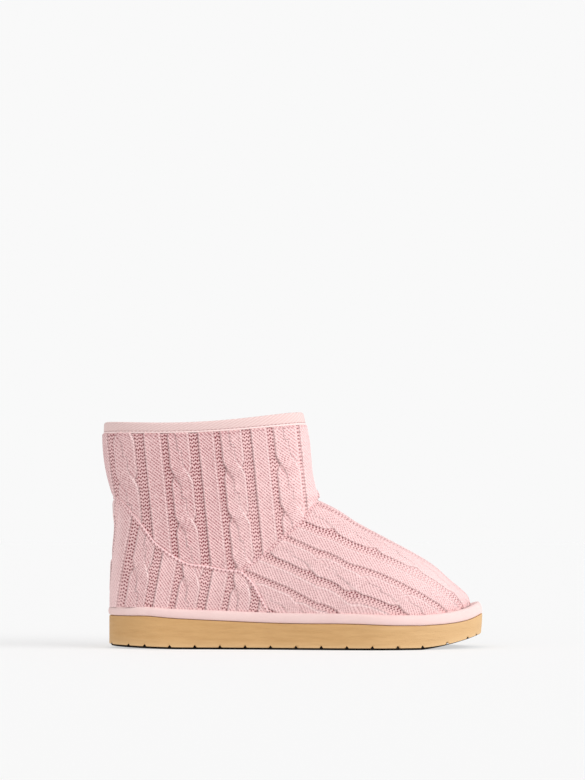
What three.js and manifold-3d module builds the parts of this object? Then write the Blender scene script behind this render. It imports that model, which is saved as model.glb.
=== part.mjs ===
// A cable-knit ankle boot on a thick foam sole: a right shoe, empty, standing on its sole.
// Millimetres, +Z up, toe towards +X, outer side of the foot towards -Y.
// While it is built, x = 0 is the heel end of the outsole and y = 0 the middle of the heel.
import * as THREE from "three";
import { mergeVertices } from "three/addons/utils/BufferGeometryUtils.js";
import Module from "manifold-3d";

const wasm = await Module();
wasm.setup();

// Driving dimensions
const soleLength = 270;
const ballWidth = 97;
const heelWidth = 68;
const heelThickness = 23; // foam outsole at its thickest, under the heel
const ballThickness = 17.2;
const toeThickness = 13.4;
const toeSpring = 10.3; // lift of the outsole under the toe tip
const toeLean = 2.3; // how far the top of the wrapped board stands back at the toe tip
const treadLean = 2.1; // the same for the walking face
const heelRocker = 1.8; // lift of the outsole under the heel end
const midsoleThickness = 7.2; // fabric-wrapped board between outsole and upper
const bootHeight = 170; // floor to the front of the collar
const collarDrop = 7.5; // how much lower the collar is at the back
const collarDip = 4.9; // extra sag of the collar at mid side
const throatHeight = 106.5; // where the shaft meets the vamp, in front
const throatReach = 150.7; // heel end to that point
const ankleWidth = 76;
const collarWidth = 82;
const wall = 3.4;
const bindingHeight = 7.4;
const bindingTape = 0.8;
const bindingSet = 0.6; // the knit stands out past the tape by this much
const insoleThickness = 4;
const clearance = 0.3;

// Tread
const treadPitch = 17.9;
const treadDepth = 2.4;
const treadWidth = 4.6;
const treadStart = 27.4; // heel end to the first full groove
const treadSet = 1.3; // how far the walking face stands below the edge of the side wall
const treadInset = 1.5;

// How fine the solids are
const turnSteps = 72; // round the boot
const footSteps = 15; // rings from sole to throat
const shaftSteps = 6; // rings from throat to collar

// Table helpers
const clamp = (v, low, high) => Math.min(high, Math.max(low, v));
const blend = (a, b, t) => a + (b - a) * t;
const ease = (t) => t * t * (3 - 2 * t);

// The value of one column where `at` has the given value, on a smooth curve through the rows.
function follow(rows, column, at) {
  const last = rows.length - 1;
  const u = clamp(at, rows[0].at, rows[last].at);
  let i = 0;
  while (i < last - 1 && u > rows[i + 1].at) i += 1;
  const slope = (k) => {
    const before = rows[Math.max(0, k - 1)];
    const after = rows[Math.min(last, k + 1)];
    return (after[column] - before[column]) / (after.at - before.at);
  };
  const step = rows[i + 1].at - rows[i].at;
  const t = (u - rows[i].at) / step;
  const rise = t * t * (3 - 2 * t);
  const leave = t * (1 - t) * (1 - t) * step;
  const arrive = t * t * (t - 1) * step;
  return (
    blend(rows[i][column], rows[i + 1][column], rise) + slope(i) * leave + slope(i + 1) * arrive
  );
}

// How much of the full width is left at share u of a rounded end: 1 where the end begins, 0 at its tip.
const rounded = (u, power) => Math.pow(1 - Math.pow(clamp(u, 0, 1), power), 1 / power);

// Seen from above. `at` is a share of the sole's length. Half width is the sum of shares of half the ball
// width and half the heel width. Swing moves the centre line to the inner side, in shares of the ball width.
const plan = [
  { at: 0.0, ball: 0.0, heel: 1.0, swing: 0.0 },
  { at: 0.16, ball: 0.0, heel: 1.0, swing: 0.0 },
  { at: 0.4, ball: 0.3, heel: 0.62, swing: -0.032 },
  { at: 0.56, ball: 0.72, heel: 0.22, swing: -0.03 },
  { at: 0.72, ball: 1.0, heel: 0.0, swing: -0.012 },
  { at: 0.87, ball: 1.02, heel: 0.0, swing: 0.025 },
  { at: 1.0, ball: 0.98, heel: 0.0, swing: 0.05 },
];
const heelRounding = { length: 0.155 * soleLength, power: 2.15 };
const toeRounding = { length: 0.34 * soleLength, power: 2.2 };

const fullHalf = (x) => {
  const at = x / soleLength;
  return (follow(plan, "ball", at) * ballWidth + follow(plan, "heel", at) * heelWidth) / 2;
};
const centreLine = (x) => follow(plan, "swing", x / soleLength) * ballWidth;

// Half width of the sole, `out` mm outside its edge.
function soleHalf(x, out) {
  const back = clamp((heelRounding.length - x) / (heelRounding.length + out), 0, 1);
  const front = clamp(
    (x - soleLength + toeRounding.length) / (toeRounding.length + out), 0, 1,
  );
  return (
    (fullHalf(x) + out) *
    rounded(back, heelRounding.power) *
    rounded(front, toeRounding.power)
  );
}

// Side view of the sole: flat on the floor from heel to ball, lifted at both ends.
const flatFrom = 0.19 * soleLength;
const flatTo = 0.825 * soleLength;
const soleBottom = (x) =>
  heelRocker * Math.pow(clamp(1 - x / flatFrom, 0, 1), 1.3) +
  toeSpring * Math.pow(clamp((x - flatTo) / (soleLength - flatTo), 0, 1), 1.35);

// Thickness is blended from ball to heel, and from ball to toe.
const thickness = [
  { at: 0.0, heel: 0.74, toe: 0.0 },
  { at: 0.06, heel: 0.88, toe: 0.0 },
  { at: 0.11, heel: 0.96, toe: 0.0 },
  { at: 0.17, heel: 0.8, toe: 0.0 },
  { at: 0.26, heel: 0.6, toe: 0.0 },
  { at: 0.41, heel: 0.3, toe: 0.0 },
  { at: 0.5, heel: 0.21, toe: 0.0 },
  { at: 0.64, heel: 0.19, toe: 0.0 },
  { at: 0.75, heel: 0.0, toe: 0.0 },
  { at: 0.84, heel: 0.0, toe: 0.14 },
  { at: 0.9, heel: 0.0, toe: 0.66 },
  { at: 0.955, heel: 0.0, toe: 1.0 },
  { at: 1.0, heel: 0.0, toe: 0.74 },
];
const soleTop = (x) => {
  const at = x / soleLength;
  return (
    soleBottom(x) +
    ballThickness +
    follow(thickness, "heel", at) * (heelThickness - ballThickness) +
    follow(thickness, "toe", at) * (toeThickness - ballThickness)
  );
};

// The wrapped midsole is a little thicker towards the toe.
const wrap = [
  { at: 0.0, share: 0.83 },
  { at: 0.12, share: 0.9 },
  { at: 0.35, share: 1.0 },
  { at: 0.85, share: 1.03 },
  { at: 1.0, share: 1.3 },
];
const wrapThickness = (x) => follow(wrap, "share", x / soleLength) * midsoleThickness;
const midsoleTop = (x) => soleTop(x) + clearance + wrapThickness(x);
const upperBase = (x) => midsoleTop(x) + clearance;

// Side view of the upper. Heights between base and throat are shares of that rise, and so are heights
// between throat and collar. Distances along the boot are shares of the sole's length.
const toeBase = 0.975 * soleLength; // where the vamp starts on the midsole
const ridgeLine = [
  { at: -0.25, rise: 1.18 },
  { at: 0.0, rise: 1.0 },
  { at: 0.13, rise: 0.902 },
  { at: 0.25, rise: 0.784 },
  { at: 0.444, rise: 0.628 },
  { at: 0.636, rise: 0.473 },
  { at: 0.762, rise: 0.356 },
  { at: 0.856, rise: 0.243 },
  { at: 0.936, rise: 0.153 },
  { at: 0.98, rise: 0.085 },
  { at: 1.0, rise: 0.0 },
];
const ridge = (x) => {
  const at = (x - throatReach) / (toeBase - throatReach);
  const low = upperBase(toeBase);
  return low + follow(ridgeLine, "rise", at) * (throatHeight - low);
};

// Level 0 is the base, 1 the throat and 2 the collar. Back and front are distances from the heel end.
const backLine = [
  { at: 0.0, back: 0.002 },
  { at: 0.15, back: 0.0012 },
  { at: 0.36, back: 0.005 },
  { at: 0.55, back: 0.0093 },
  { at: 0.78, back: 0.0146 },
  { at: 0.95, back: 0.0098 },
  { at: 1.02, back: 0.0118 },
  { at: 1.1, back: 0.0058 },
  { at: 1.28, back: -0.0054 },
  { at: 1.48, back: -0.0137 },
  { at: 1.7, back: -0.0174 },
  { at: 1.92, back: -0.0161 },
  { at: 2.1, back: -0.0155 },
];
const frontLine = [
  { at: 0.0, front: -0.33 },
  { at: 0.6, front: -0.1 },
  { at: 1.0, front: 0.0 },
  { at: 1.16, front: -0.0048 },
  { at: 1.3, front: -0.013 },
  { at: 1.5, front: -0.0172 },
  { at: 1.65, front: -0.0196 },
  { at: 1.83, front: -0.0275 },
  { at: 2.0, front: -0.036 },
  { at: 2.1, front: -0.042 },
];
const rimFront = bootHeight - bindingTape - clearance;
const rimBack = rimFront - collarDrop;
const heelBase = upperBase(0);

// Height of a level at the back and at the front of the shaft.
const backHeight = (level) =>
  level < 1
    ? blend(heelBase, throatHeight, level)
    : blend(throatHeight, rimBack, level - 1);
const frontHeight = (level) =>
  level < 1
    ? blend(heelBase, throatHeight, level)
    : blend(throatHeight, rimFront, level - 1);
const levelAt = (z) =>
  z < throatHeight
    ? (z - heelBase) / (throatHeight - heelBase)
    : 1 + (z - throatHeight) / (rimFront - throatHeight);
const backAt = (level) => follow(backLine, "back", level) * soleLength;
const shaftFrontAt = (level) => throatReach + follow(frontLine, "front", level) * soleLength;

// The foot part: vertical sections across the boot, from the base up to the ridge.
const sideInset = 1.7; // midsole edge to upper
const cheek = 1.5; // swell of the sides just above the midsole
const toeBox = { length: 0.335 * soleLength, power: 2.25 };
const arch = [
  { at: 0.0, power: 1.9 },
  { at: 0.55, power: 1.9 },
  { at: 0.8, power: 2.1 },
  { at: 1.0, power: 2.5 },
];
function footHalf(x, z, level) {
  const base = upperBase(x);
  const s = clamp((z - base) / Math.max(ridge(x) - base, 0.01), 0, 1);
  const front = rounded((x - toeBase + toeBox.length) / toeBox.length, toeBox.power);
  const swell = cheek * Math.sin(Math.PI * clamp(1.7 * s, 0, 1));
  const crown = Math.sqrt(1 - Math.pow(s, follow(arch, "power", x / soleLength)));
  return (fullHalf(x) - sideInset + swell) * front * crown * backRound(x, level);
}

// The shaft part: level sections, rounded at the back and the front.
const tube = [
  { at: 0.0, heel: 0.98, ankle: 0.0, collar: 0.0, back: 0.16, front: 0.3 },
  { at: 0.35, heel: 0.7, ankle: 0.36, collar: 0.0, back: 0.165, front: 0.3 },
  { at: 1.0, heel: 0.0, ankle: 1.0, collar: 0.0, back: 0.22, front: 0.32 },
  { at: 1.4, heel: 0.0, ankle: 0.5, collar: 0.5, back: 0.25, front: 0.3 },
  { at: 2.0, heel: 0.0, ankle: 0.0, collar: 1.0, back: 0.27, front: 0.27 },
];
const shaftPower = 2.2;
function backRound(x, level) {
  const length = follow(tube, "back", level) * soleLength;
  return rounded((backAt(level) + length - x) / length, shaftPower);
}
function shaftHalf(x, level) {
  const length = follow(tube, "front", level) * soleLength;
  const half =
    (follow(tube, "heel", level) * (heelWidth - 2 * sideInset) +
      follow(tube, "ankle", level) * ankleWidth +
      follow(tube, "collar", level) * collarWidth) / 2;
  const front = rounded((x - shaftFrontAt(level) + length) / length, shaftPower);
  return half * front * backRound(x, level);
}

// Half width of the whole upper: foot and shaft, run into each other over a few millimetres.
const melt = 13;
function upperHalf(x, z) {
  const level = levelAt(z);
  const a = footHalf(x, z, level);
  const b = shaftHalf(x, level);
  const gap = Math.max(melt - Math.abs(a - b), 0) / melt;
  const taper = Math.min(a, b) / (Math.min(a, b) + melt);
  return Math.max(a, b) + (gap * gap * melt * taper) / 4;
}
const straightens = (z) => 1 - ease(clamp((z - heelBase) / (throatHeight - heelBase), 0, 1));
const upperCentre = (x, z) => centreLine(x) * straightens(z);

// A point of the outer skin: `level` as above, `turn` 0 at the back, 0.25 at the outer side, 0.5 in front.
function skin(level, turn) {
  const share = (1 - Math.cos(2 * Math.PI * turn)) / 2;
  const backZ = backHeight(level);
  const frontX = level < 1 ? blend(toeBase, throatReach, level) : shaftFrontAt(level);
  const frontZ = level < 1 ? ridge(frontX) : frontHeight(level);
  const x = blend(backAt(levelAt(backZ)), frontX, share);
  let z = blend(backZ, frontZ, share);
  if (level < 1) {
    const footX = blend(backAt(0), toeBase, share);
    const sag = upperBase(footX) - blend(heelBase, upperBase(toeBase), share);
    z += sag * (1 - level) * (1 - level);
  } else {
    z -= collarDip * Math.sin(Math.PI * share) * (level - 1) * (level - 1);
  }
  const half = share <= 0 || share >= 1 ? 0 : upperHalf(x, z);
  const outer = turn <= 0.5 ? -1 : 1;
  return new THREE.Vector3(x, upperCentre(x, z) + outer * half, z);
}

// The skin moved inwards by `depth`, square to itself.
function underSkin(level, turn, depth) {
  const nudge = 0.004;
  const low = level === 0 ? 0 : level - nudge;
  const up = skin(level + nudge, turn).sub(skin(low, turn));
  const round = skin(level, (turn + nudge) % 1).sub(skin(level, (turn + 1 - nudge) % 1));
  const inward = up.cross(round).normalize();
  const point = skin(level, turn).addScaledVector(inward, depth);
  if (level === 0) point.z = upperBase(point.x);
  return point;
}

// Geometry helpers
function closedGeometry(points, triangles) {
  const geometry = new THREE.BufferGeometry().setFromPoints(points);
  geometry.setIndex(triangles);
  return mergeVertices(geometry, 1e-4);
}

// Rings of equal length joined one to the next. When they don't close on themselves, each end is
// capped by rungs between the two sides, so a ring has to run up one side and back down the other.
function joinRings(rings, closeOnItself) {
  const count = rings[0].length;
  const points = rings.flat();
  const triangles = [];
  const bands = closeOnItself ? rings.length : rings.length - 1;
  for (let r = 0; r < bands; r += 1) {
    const low = r * count;
    const high = ((r + 1) % rings.length) * count;
    for (let i = 0; i < count; i += 1) {
      const j = (i + 1) % count;
      triangles.push(low + i, low + j, high + j, low + i, high + j, high + i);
    }
  }
  if (!closeOnItself) {
    const top = (rings.length - 1) * count;
    for (let i = 0; i < count / 2; i += 1) {
      const j = i + 1;
      const back = (count - i) % count;
      const ahead = count - j;
      triangles.push(i, back, j, top + i, top + j, top + back);
      triangles.push(j, back, ahead, top + j, top + ahead, top + back);
    }
  }
  const flat = triangles.filter((_, k) => {
    const t = triangles.slice(k - (k % 3), k - (k % 3) + 3);
    return t[0] !== t[1] && t[1] !== t[2] && t[0] !== t[2];
  });
  return closedGeometry(points, flat);
}

// A solid whose section in the wall is a loop of [level, depth] places, carried once round the boot.
function roundBoot(loop, steps) {
  const rings = loop.map(([level, depth]) =>
    Array.from({ length: steps }, (_, i) => underSkin(level, i / steps, depth)));
  return joinRings(rings, true);
}

// How much of a lean shows at x: none behind the ball, all of it at the toe tip.
const leanFrom = 0.8;
const leanShare = (x) => Math.pow(clamp((x / soleLength - leanFrom) / (1 - leanFrom), 0, 1), 2);

// A layer of the sole. Each row is one edge line: `out` mm outside the sole's edge, `up` its height at x,
// and `lean` how far it stands back at the toe tip.
function soleLayer(rows, steps) {
  const rings = rows.map(({ out, up, lean = 0 }) =>
    Array.from({ length: steps }, (_, i) => {
      const turn = i / steps;
      const share = (1 - Math.cos(2 * Math.PI * turn)) / 2;
      const x = blend(-out, soleLength + out, share);
      const half = share <= 0 || share >= 1 ? 0 : soleHalf(x, out);
      const place = x - lean * leanShare(x);
      return new THREE.Vector3(place, centreLine(x) + (turn <= 0.5 ? -half : half), up(place));
    }));
  return joinRings(rings, false);
}

const toManifold = (geometry) => {
  const bare = geometry.index ? geometry.toNonIndexed() : geometry.clone();
  bare.deleteAttribute("normal");
  bare.deleteAttribute("uv");
  const merged = mergeVertices(bare, 1e-4);
  return new wasm.Manifold(new wasm.Mesh({
    numProp: 3,
    vertProperties: merged.attributes.position.array,
    triVerts: new Uint32Array(merged.index.array),
  }));
};
const fromManifold = (solid) => {
  const mesh = solid.getMesh();
  const geometry = new THREE.BufferGeometry();
  geometry.setAttribute("position", new THREE.BufferAttribute(mesh.vertProperties, 3));
  geometry.setIndex(new THREE.BufferAttribute(mesh.triVerts, 1));
  return geometry;
};

// Outsole: foam, one piece, with a set-in walking face and grooves across it
function outsoleGeometry() {
  const edge = 0.6;
  const height = (share) => (x) => blend(soleBottom(x), soleTop(x), share);
  const body = soleLayer([
    { out: -treadInset, up: soleBottom, lean: treadLean },
    { out: -treadInset, up: (x) => soleBottom(x) + treadSet, lean: treadLean },
    { out: -0.2, up: (x) => soleBottom(x) + treadSet + 0.15, lean: treadLean },
    { out: 0, up: (x) => soleBottom(x) + treadSet + 0.9, lean: 0.8 * treadLean },
    { out: 0, up: height(0.5), lean: 0.25 * treadLean },
    { out: 0, up: (x) => soleTop(x) - edge },
    { out: -edge, up: soleTop },
  ], turnSteps);
  let solid = toManifold(body);
  for (let x = treadStart; x < flatTo + treadPitch; x += treadPitch) {
    solid = solid.subtract(toManifold(groove(x, 1)));
  }
  for (const { at, share } of endGrooves) {
    solid = solid.subtract(toManifold(groove(at * soleLength, share)));
  }
  return fromManifold(solid.simplify(0.02));
}

// Closer and shallower grooves at both ends, as shares of the sole's length and of a full groove.
const endGrooves = [
  { at: 0.01, share: 0.65 },
  { at: 0.058, share: 0.8 },
  { at: 0.954, share: 0.8 },
  { at: 0.98, share: 0.65 },
];

// One groove: a wedge across the sole, bent forward in the middle like a shallow chevron.
function groove(x, share) {
  const bend = 0.45 * treadPitch;
  const half = (treadWidth * share) / 2;
  const section = [[-half, 0], [0, treadDepth * share], [half, 0], [2 * half, -3], [-2 * half, -3]];
  const reach = soleHalf(x, 0) + treadWidth;
  const rings = [-1, 0, 1].map((place) => {
    const middle = x + bend * (1 - Math.abs(place));
    const tilt = Math.atan((soleBottom(middle + 1) - soleBottom(middle - 1)) / 2);
    return section.map(([along, up]) => new THREE.Vector3(
      middle + along * Math.cos(tilt) - up * Math.sin(tilt),
      centreLine(x) + place * reach,
      soleBottom(middle) + along * Math.sin(tilt) + up * Math.cos(tilt),
    ));
  });
  const count = section.length;
  const triangles = [];
  for (let r = 0; r < rings.length - 1; r += 1) {
    for (let i = 0; i < count; i += 1) {
      const a = r * count + i;
      const b = r * count + ((i + 1) % count);
      triangles.push(a, b, b + count, a, b + count, a + count);
    }
  }
  const end = (rings.length - 1) * count;
  for (let i = 1; i < count - 1; i += 1) {
    triangles.push(0, i + 1, i, end, end + i, end + i + 1);
  }
  return closedGeometry(rings.flat(), triangles);
}

// Midsole: a board wrapped in fabric, swelling a little past the foam and rounded over at the top
function midsoleGeometry() {
  const foot = (x) => soleTop(x) + clearance;
  const height = (share) => (x) => foot(x) + share * wrapThickness(x);
  return soleLayer([
    { out: -0.9, up: foot },
    { out: 0.2, up: height(0.12), lean: 0.1 * toeLean },
    { out: 0.7, up: height(0.5), lean: 0.5 * toeLean },
    { out: 0.3, up: height(0.82), lean: 0.85 * toeLean },
    { out: -1.1, up: height(1), lean: toeLean },
  ], turnSteps);
}

// Insole: a footbed lying on the midsole, inside the upper
function insoleGeometry() {
  const out = -(sideInset + wall + 2 * clearance);
  const low = (x) => midsoleTop(x) + clearance;
  const reach = toeBase - 0.045 * soleLength;
  const rings = [
    { inset: 0, up: low },
    { inset: 0, up: (x) => low(x) + 0.7 * insoleThickness },
    { inset: 1.2, up: (x) => low(x) + insoleThickness },
  ].map(({ inset, up }) => Array.from({ length: turnSteps / 2 }, (_, i) => {
    const turn = (2 * i) / turnSteps;
    const share = (1 - Math.cos(2 * Math.PI * turn)) / 2;
    const x = blend(wall + 3 * clearance + inset + backAt(0), reach - inset, share);
    const end = rounded((x - reach + toeBox.length) / toeBox.length, toeBox.power);
    const half = Math.min((fullHalf(x) + out - inset) * end * backRound(x - wall, 0), soleHalf(x, out - inset));
    const open = share <= 0 || share >= 1 ? 0 : half;
    return new THREE.Vector3(x, centreLine(x) + (turn <= 0.5 ? -open : open), up(x));
  }));
  return joinRings(rings, false);
}

// Upper: one wall from the midsole to the collar, thinned outside where the binding grips it
const shaftRise = rimBack - throatHeight;
const belowRim = (mm) => 2 - mm / shaftRise;
const neckInset = bindingSet + bindingTape + clearance;
function upperGeometry() {
  const neck = belowRim(bindingHeight + clearance);
  const levels = [
    ...Array.from({ length: footSteps }, (_, i) => 1 - Math.pow(1 - i / footSteps, 1.3)),
    ...Array.from({ length: shaftSteps }, (_, i) => blend(1, neck, i / shaftSteps)),
  ];
  const outside = [...levels, neck].map((level) => [level, 0]);
  const grip = [[neck, neckInset], [2, neckInset], [2, wall]];
  const inside = [...levels, neck].reverse().map((level) => [level, wall]);
  return roundBoot([...outside, ...grip, ...inside], turnSteps);
}

// Binding: tape folded over the top edge of the upper
function bindingGeometry() {
  const low = belowRim(bindingHeight);
  const over = belowRim(-clearance);
  const top = belowRim(-clearance - bindingTape);
  const inner = wall + clearance;
  const middle = (bindingSet + inner + bindingTape) / 2;
  return roundBoot([
    [low, bindingSet], [belowRim(0.7), bindingSet], [belowRim(-0.6), bindingSet + 0.45],
    [top, middle - 0.5], [top, middle + 0.5],
    [belowRim(-0.6), inner + 0.35], [belowRim(0.7), inner + bindingTape], [low, inner + bindingTape],
    [low, inner], [over, inner], [over, bindingSet + bindingTape], [low, bindingSet + bindingTape],
  ], turnSteps);
}

// Assembly
const knit = new THREE.MeshStandardMaterial({ color: 0xecc0c2, roughness: 0.95, metalness: 0 });
const tape = new THREE.MeshStandardMaterial({ color: 0xf1cdc8, roughness: 0.85, metalness: 0 });
const wrapFabric = new THREE.MeshStandardMaterial({ color: 0xf6d5d4, roughness: 0.85, metalness: 0 });
const foam = new THREE.MeshStandardMaterial({ color: 0xcfa56c, roughness: 0.7, metalness: 0 });
const footbed = new THREE.MeshStandardMaterial({ color: 0xf2dcd6, roughness: 0.95, metalness: 0 });

const boot = new THREE.Group();
for (const [name, geometry, material] of [
  ["outsole", outsoleGeometry(), foam],
  ["midsole", midsoleGeometry(), wrapFabric],
  ["insole", insoleGeometry(), footbed],
  ["upper", upperGeometry(), knit],
  ["collar_binding", bindingGeometry(), tape],
]) {
  const mesh = new THREE.Mesh(geometry, material);
  mesh.name = name;
  boot.add(mesh);
}

// The origin is on the floor, under the middle of the boot's outline.
const outline = new THREE.Box3().setFromObject(boot);
const middle = outline.getCenter(new THREE.Vector3());
boot.position.set(-middle.x, -middle.y, -outline.min.z);

export default boot;
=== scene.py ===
import math

import bpy
import numpy as np
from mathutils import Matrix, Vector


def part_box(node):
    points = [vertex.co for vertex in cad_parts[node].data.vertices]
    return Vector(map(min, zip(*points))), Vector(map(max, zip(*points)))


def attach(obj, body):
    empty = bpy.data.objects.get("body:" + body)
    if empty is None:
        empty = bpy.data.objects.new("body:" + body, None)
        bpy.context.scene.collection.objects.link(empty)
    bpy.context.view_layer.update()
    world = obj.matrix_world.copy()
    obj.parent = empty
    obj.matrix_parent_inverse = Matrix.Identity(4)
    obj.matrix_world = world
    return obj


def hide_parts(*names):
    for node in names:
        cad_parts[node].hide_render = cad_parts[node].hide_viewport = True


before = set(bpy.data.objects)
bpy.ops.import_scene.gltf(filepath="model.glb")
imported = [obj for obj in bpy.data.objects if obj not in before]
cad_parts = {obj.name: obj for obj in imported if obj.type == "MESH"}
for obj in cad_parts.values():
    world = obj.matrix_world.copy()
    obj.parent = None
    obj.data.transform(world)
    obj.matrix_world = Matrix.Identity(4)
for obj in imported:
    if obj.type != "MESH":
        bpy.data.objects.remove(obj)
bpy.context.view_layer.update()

# Sizes of the boot in millimetres, measured from the heel end, the middle of the heel and the floor
boot = {
    "soleLength": 270, "ballWidth": 97, "heelWidth": 68,
    "heelThickness": 23, "ballThickness": 17.2, "toeThickness": 13.4,
    "toeSpring": 10.3, "heelRocker": 1.8, "midsoleThickness": 7.2,
    "bootHeight": 170, "collarDrop": 7.5, "collarDip": 4.9, "toeLean": 2.3, "treadLean": 2.1,
    "throatHeight": 106.5, "throatReach": 150.7, "ankleWidth": 76, "collarWidth": 82,
    "wall": 3.4, "bindingHeight": 7.4, "bindingTape": 0.8, "bindingSet": 0.6, "clearance": 0.3,
    "sideInset": 1.7, "cheek": 1.5, "melt": 13, "shaftPower": 2.2,
}
soleLength = boot["soleLength"]
clearance = boot["clearance"]
flatFrom = 0.19 * soleLength
flatTo = 0.825 * soleLength
toeBase = 0.975 * soleLength

# Lines of the boot, as shares of the sizes above
plan = {
    "at": [0, 0.16, 0.4, 0.56, 0.72, 0.87, 1],
    "ball": [0, 0, 0.3, 0.72, 1, 1.02, 0.98],
    "heel": [1, 1, 0.62, 0.22, 0, 0, 0],
    "swing": [0, 0, -0.032, -0.03, -0.012, 0.025, 0.05],
}
thickness = {
    "at": [0, 0.06, 0.11, 0.17, 0.26, 0.41, 0.5, 0.64, 0.75, 0.84, 0.9, 0.955, 1],
    "heel": [0.74, 0.88, 0.96, 0.8, 0.6, 0.3, 0.21, 0.19, 0, 0, 0, 0, 0],
    "toe": [0, 0, 0, 0, 0, 0, 0, 0, 0, 0.14, 0.66, 1, 0.74],
}
wrap = {"at": [0, 0.12, 0.35, 0.85, 1], "share": [0.83, 0.9, 1, 1.03, 1.3]}
ridgeLine = {
    "at": [-0.25, 0, 0.13, 0.25, 0.444, 0.636, 0.762, 0.856, 0.936, 0.98, 1],
    "rise": [1.18, 1, 0.902, 0.784, 0.628, 0.473, 0.356, 0.243, 0.153, 0.085, 0],
}
backLine = {
    "at": [0, 0.15, 0.36, 0.55, 0.78, 0.95, 1.02, 1.1, 1.28, 1.48, 1.7, 1.92, 2.1],
    "back": [0.002, 0.0012, 0.005, 0.0093, 0.0146, 0.0098, 0.0118, 0.0058, -0.0054, -0.0137, -0.0174,
             -0.0161, -0.0155],
}
frontLine = {
    "at": [0, 0.6, 1, 1.16, 1.3, 1.5, 1.65, 1.83, 2, 2.1],
    "front": [-0.33, -0.1, 0, -0.0048, -0.013, -0.0172, -0.0196, -0.0275, -0.036, -0.042],
}
arch = {"at": [0, 0.55, 0.8, 1], "power": [1.9, 1.9, 2.1, 2.5]}
tube = {
    "at": [0, 0.35, 1, 1.4, 2],
    "heel": [0.98, 0.7, 0, 0, 0], "ankle": [0, 0.36, 1, 0.5, 0], "collar": [0, 0, 0, 0.5, 1],
    "back": [0.16, 0.165, 0.22, 0.25, 0.27], "front": [0.3, 0.3, 0.32, 0.3, 0.27],
}


def follow(table, column, at):
    knots, values = np.array(table["at"], float), np.array(table[column], float)
    slopes = np.empty_like(values)
    slopes[1:-1] = (values[2:] - values[:-2]) / (knots[2:] - knots[:-2])
    slopes[0] = (values[1] - values[0]) / (knots[1] - knots[0])
    slopes[-1] = (values[-1] - values[-2]) / (knots[-1] - knots[-2])
    u = np.clip(at, knots[0], knots[-1])
    i = np.clip(np.searchsorted(knots, u, side="right") - 1, 0, len(knots) - 2)
    step = knots[i + 1] - knots[i]
    t = (u - knots[i]) / step
    rise = t * t * (3 - 2 * t)
    return (values[i] + (values[i + 1] - values[i]) * rise
            + slopes[i] * t * (1 - t) ** 2 * step + slopes[i + 1] * t * t * (t - 1) * step)


def rounded(u, power):
    return (1 - np.clip(u, 0, 1) ** power) ** (1 / power)


def ease(low, high, value):
    t = np.clip((value - low) / (high - low), 0, 1)
    return t * t * (3 - 2 * t)


def fullHalf(x):
    at = x / soleLength
    return (follow(plan, "ball", at) * boot["ballWidth"] + follow(plan, "heel", at) * boot["heelWidth"]) / 2


def centreLine(x):
    return follow(plan, "swing", x / soleLength) * boot["ballWidth"]


def soleHalf(x, out):
    heel, toe = 0.155 * soleLength, 0.34 * soleLength
    back = np.clip((heel - x) / (heel + out), 0, 1)
    front = np.clip((x - soleLength + toe) / (toe + out), 0, 1)
    return (fullHalf(x) + out) * rounded(back, 2.15) * rounded(front, 2.2)


def soleBottom(x):
    return (boot["heelRocker"] * np.clip(1 - x / flatFrom, 0, 1) ** 1.3
            + boot["toeSpring"] * np.clip((x - flatTo) / (soleLength - flatTo), 0, 1) ** 1.35)


def soleTop(x):
    at, ball = x / soleLength, boot["ballThickness"]
    return (soleBottom(x) + ball + follow(thickness, "heel", at) * (boot["heelThickness"] - ball)
            + follow(thickness, "toe", at) * (boot["toeThickness"] - ball))


def wrapThickness(x):
    return follow(wrap, "share", x / soleLength) * boot["midsoleThickness"]


def midsoleTop(x):
    return soleTop(x) + clearance + wrapThickness(x)


def upperBase(x):
    return midsoleTop(x) + clearance


def ridge(x):
    low = upperBase(np.array(toeBase))
    return low + follow(ridgeLine, "rise", (x - boot["throatReach"]) / (toeBase - boot["throatReach"])) * (
        boot["throatHeight"] - low)


rimFront = boot["bootHeight"] - boot["bindingTape"] - clearance
rimBack = rimFront - boot["collarDrop"]
heelBase = float(upperBase(np.array(0.0)))
shaftRise = rimBack - boot["throatHeight"]


def heightAt(level, rim):
    throat = boot["throatHeight"]
    return np.where(level < 1, heelBase + (throat - heelBase) * level, throat + (rim - throat) * (level - 1))


def levelAt(z):
    throat = boot["throatHeight"]
    return np.where(z < throat, (z - heelBase) / (throat - heelBase), 1 + (z - throat) / (rimFront - throat))


def backAt(level):
    return follow(backLine, "back", level) * soleLength


def shaftFrontAt(level):
    return boot["throatReach"] + follow(frontLine, "front", level) * soleLength


def backRound(x, level):
    length = follow(tube, "back", level) * soleLength
    return rounded((backAt(level) + length - x) / length, boot["shaftPower"])


def toeRound(x, tip):
    length = 0.335 * soleLength
    return rounded((x - tip + length) / length, 2.25)


# Half widths, nought where the two sides meet
def meetAtEnds(share, half):
    return np.where((share <= 1e-9) | (share >= 1 - 1e-9), 0, half)


def footHalf(x, z, level):
    base = upperBase(x)
    s = np.clip((z - base) / np.maximum(ridge(x) - base, 0.01), 0, 1)
    swell = boot["cheek"] * np.sin(np.pi * np.clip(1.7 * s, 0, 1))
    crown = np.sqrt(1 - s ** follow(arch, "power", x / soleLength))
    return (fullHalf(x) - boot["sideInset"] + swell) * toeRound(x, toeBase) * crown * backRound(x, level)


def shaftHalf(x, level):
    length = follow(tube, "front", level) * soleLength
    half = (follow(tube, "heel", level) * (boot["heelWidth"] - 2 * boot["sideInset"])
            + follow(tube, "ankle", level) * boot["ankleWidth"]
            + follow(tube, "collar", level) * boot["collarWidth"]) / 2
    front = rounded((x - shaftFrontAt(level) + length) / length, boot["shaftPower"])
    return half * front * backRound(x, level)


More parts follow.
